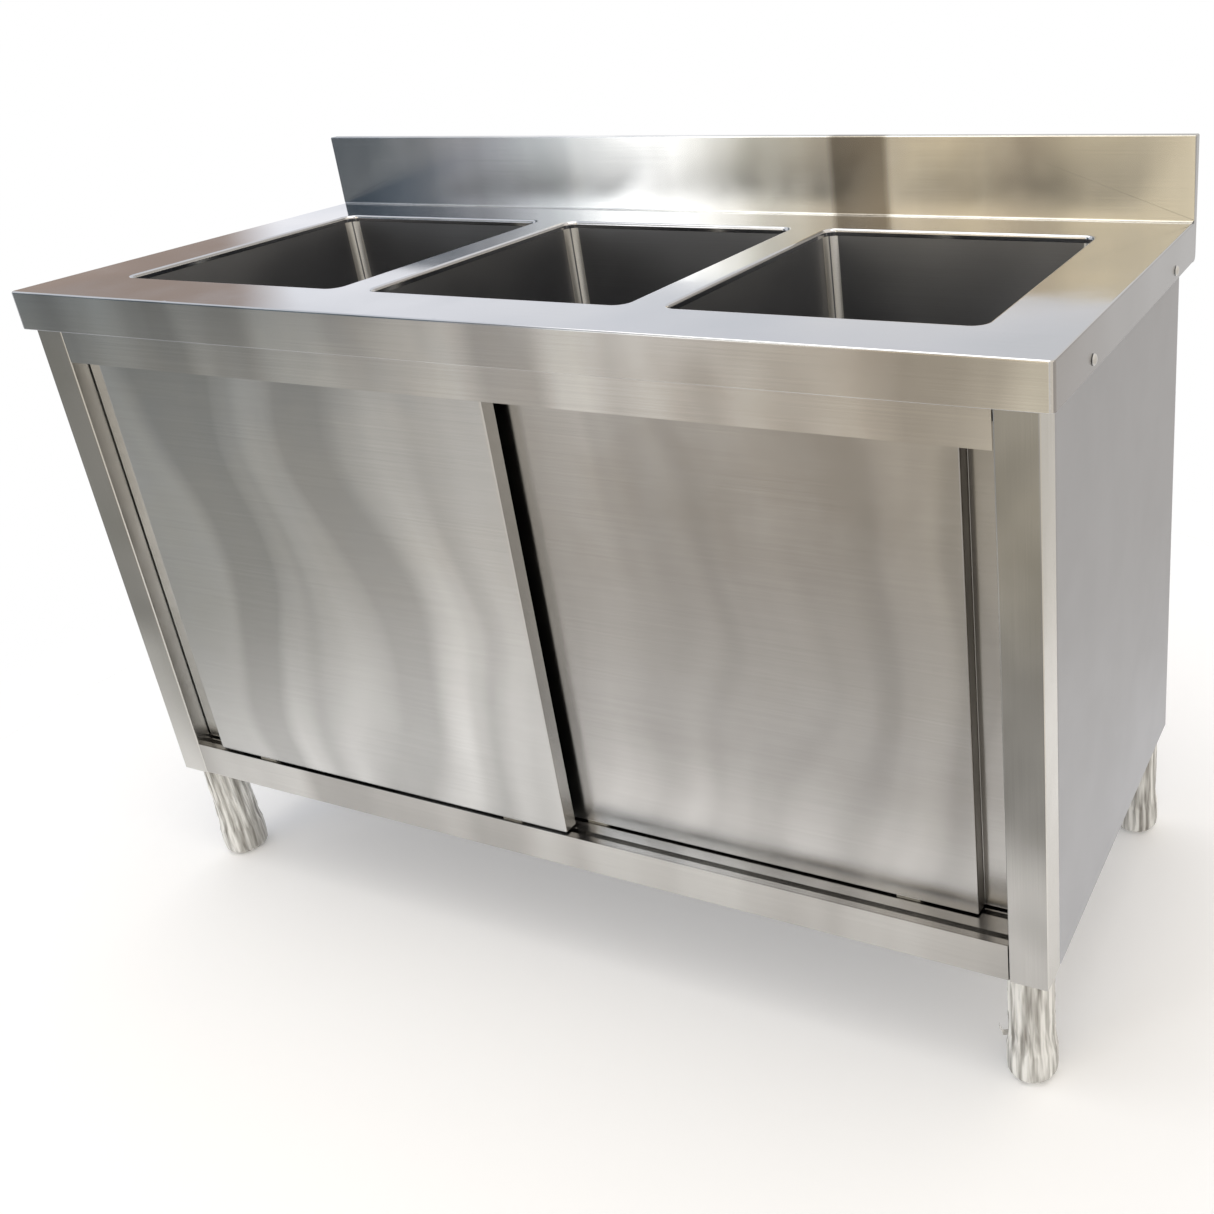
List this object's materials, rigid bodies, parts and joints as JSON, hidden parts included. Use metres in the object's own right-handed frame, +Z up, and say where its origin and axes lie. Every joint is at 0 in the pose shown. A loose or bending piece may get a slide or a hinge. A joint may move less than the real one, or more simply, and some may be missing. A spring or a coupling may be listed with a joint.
{
  "type": "three compartment sink",
  "caption": "Free-standing stainless catering sink with a row of deep bowls, a low upstand, and a cabinet below with sliding doors on screw-adjusted feet.",
  "frame": {"origin": "on the floor under the centre of the unit", "axes": "+X to the right seen from the front, +Y to the back, +Z up"},
  "size_m": [1.4076, 0.6, 1.005],
  "materials": {
    "worktop_steel": "semi-bright brushed stainless, fine grain",
    "bowl_steel": "satin pressed stainless",
    "frame_steel": "semi-bright brushed stainless",
    "door_steel": "satin brushed stainless, upright grain",
    "panel_steel": "dull plain stainless",
    "leg_steel": "bright tube",
    "hardware_steel": "polished stainless",
    "gasket_rubber": "matte",
    "waste_plastic": "moulded polypropylene",
    "nylon": "moulded nylon"
  },
  "bodies": {
    "sink": {"worktop": "worktop_steel", "bowl_left": "bowl_steel", "bowl_middle": "bowl_steel", "bowl_right": "bowl_steel", "waste_body_left": "hardware_steel", "waste_gasket_left": "gasket_rubber", "waste_nut_left": "waste_plastic", "waste_body_middle": "hardware_steel", "waste_gasket_middle": "gasket_rubber", "waste_nut_middle": "waste_plastic", "waste_body_right": "hardware_steel", "waste_gasket_right": "gasket_rubber", "waste_nut_right": "waste_plastic", "drain_manifold": "waste_plastic", "trap_body": "waste_plastic", "trap_cup": "waste_plastic", "outlet_pipe": "waste_plastic", "post_front_left": "frame_steel", "post_front_right": "frame_steel", "post_rear_left": "frame_steel", "post_rear_right": "frame_steel", "side_panel_left": "panel_steel", "side_panel_right": "panel_steel", "back_panel": "panel_steel", "header_rail": "frame_steel", "sill_rail": "frame_steel", "top_track": "frame_steel", "bottom_track": "frame_steel", "base_shelf": "panel_steel", "apron_bolt_front_left": "hardware_steel", "apron_bolt_front_right": "hardware_steel", "apron_bolt_rear_left": "hardware_steel", "apron_bolt_rear_right": "hardware_steel", "leg_front_left": "leg_steel", "leg_front_right": "leg_steel", "leg_rear_left": "leg_steel", "leg_rear_right": "leg_steel"},
    "door_left": {"door_left_outer": "door_steel", "door_left_inner": "door_steel", "door_left_hanger_outer": "hardware_steel", "door_left_guide_outer": "nylon", "door_left_hanger_inner": "hardware_steel", "door_left_guide_inner": "nylon"},
    "door_left_roller_outer": {"door_left_roller_outer": "nylon"},
    "door_left_roller_inner": {"door_left_roller_inner": "nylon"},
    "door_right": {"door_right_outer": "door_steel", "door_right_inner": "door_steel", "door_right_hanger_outer": "hardware_steel", "door_right_guide_outer": "nylon", "door_right_hanger_inner": "hardware_steel", "door_right_guide_inner": "nylon"},
    "door_right_roller_outer": {"door_right_roller_outer": "nylon"},
    "door_right_roller_inner": {"door_right_roller_inner": "nylon"},
    "strainer_basket_left": {"strainer_basket_left": "hardware_steel"},
    "strainer_basket_middle": {"strainer_basket_middle": "hardware_steel"},
    "strainer_basket_right": {"strainer_basket_right": "hardware_steel"},
    "foot_front_left": {"foot_front_left": "leg_steel"},
    "foot_front_right": {"foot_front_right": "leg_steel"},
    "foot_rear_left": {"foot_rear_left": "leg_steel"},
    "foot_rear_right": {"foot_rear_right": "leg_steel"}
  },
  "joints": [
    {"name": "door_left_slide", "type": "slide", "parent": "sink", "child": "door_left", "axis": [1, 0, 0], "range_m": [0, 0.6]},
    {"name": "door_right_slide", "type": "slide", "parent": "sink", "child": "door_right", "axis": [1, 0, 0], "range_m": [-0.6, 0]},
    {"name": "door_left_roller_outer_spin", "type": "hinge", "parent": "door_left", "child": "door_left_roller_outer", "pos_m": [-0.5, -0.2785, 0.8528], "axis": [0, 1, 0], "continuous": true},
    {"name": "door_left_roller_inner_spin", "type": "hinge", "parent": "door_left", "child": "door_left_roller_inner", "pos_m": [-0.057, -0.2785, 0.8528], "axis": [0, 1, 0], "continuous": true},
    {"name": "door_right_roller_outer_spin", "type": "hinge", "parent": "door_right", "child": "door_right_roller_outer", "pos_m": [0.5, -0.2465, 0.8528], "axis": [0, 1, 0], "continuous": true},
    {"name": "door_right_roller_inner_spin", "type": "hinge", "parent": "door_right", "child": "door_right_roller_inner", "pos_m": [0.057, -0.2465, 0.8528], "axis": [0, 1, 0], "continuous": true},
    {"name": "strainer_left_lift", "type": "slide", "parent": "sink", "child": "strainer_basket_left", "axis": [0, 0, 1], "range_m": [0, 0.28]},
    {"name": "strainer_middle_lift", "type": "slide", "parent": "sink", "child": "strainer_basket_middle", "axis": [0, 0, 1], "range_m": [0, 0.28]},
    {"name": "strainer_right_lift", "type": "slide", "parent": "sink", "child": "strainer_basket_right", "axis": [0, 0, 1], "range_m": [0, 0.28]},
    {"name": "foot_front_left_screw", "type": "slide", "parent": "sink", "child": "foot_front_left", "axis": [0, 0, -1], "range_m": [0, 0.045]},
    {"name": "foot_front_right_screw", "type": "slide", "parent": "sink", "child": "foot_front_right", "axis": [0, 0, -1], "range_m": [0, 0.045]},
    {"name": "foot_rear_left_screw", "type": "slide", "parent": "sink", "child": "foot_rear_left", "axis": [0, 0, -1], "range_m": [0, 0.045]},
    {"name": "foot_rear_right_screw", "type": "slide", "parent": "sink", "child": "foot_rear_right", "axis": [0, 0, -1], "range_m": [0, 0.045]}
  ],
  "couplings": [
    {"joint": "door_left_roller_outer_spin", "follows": "door_left_slide", "rad_per_m": 105.26},
    {"joint": "door_left_roller_inner_spin", "follows": "door_left_slide", "rad_per_m": 105.26},
    {"joint": "door_right_roller_outer_spin", "follows": "door_right_slide", "rad_per_m": 105.26},
    {"joint": "door_right_roller_inner_spin", "follows": "door_right_slide", "rad_per_m": 105.26}
  ]
}
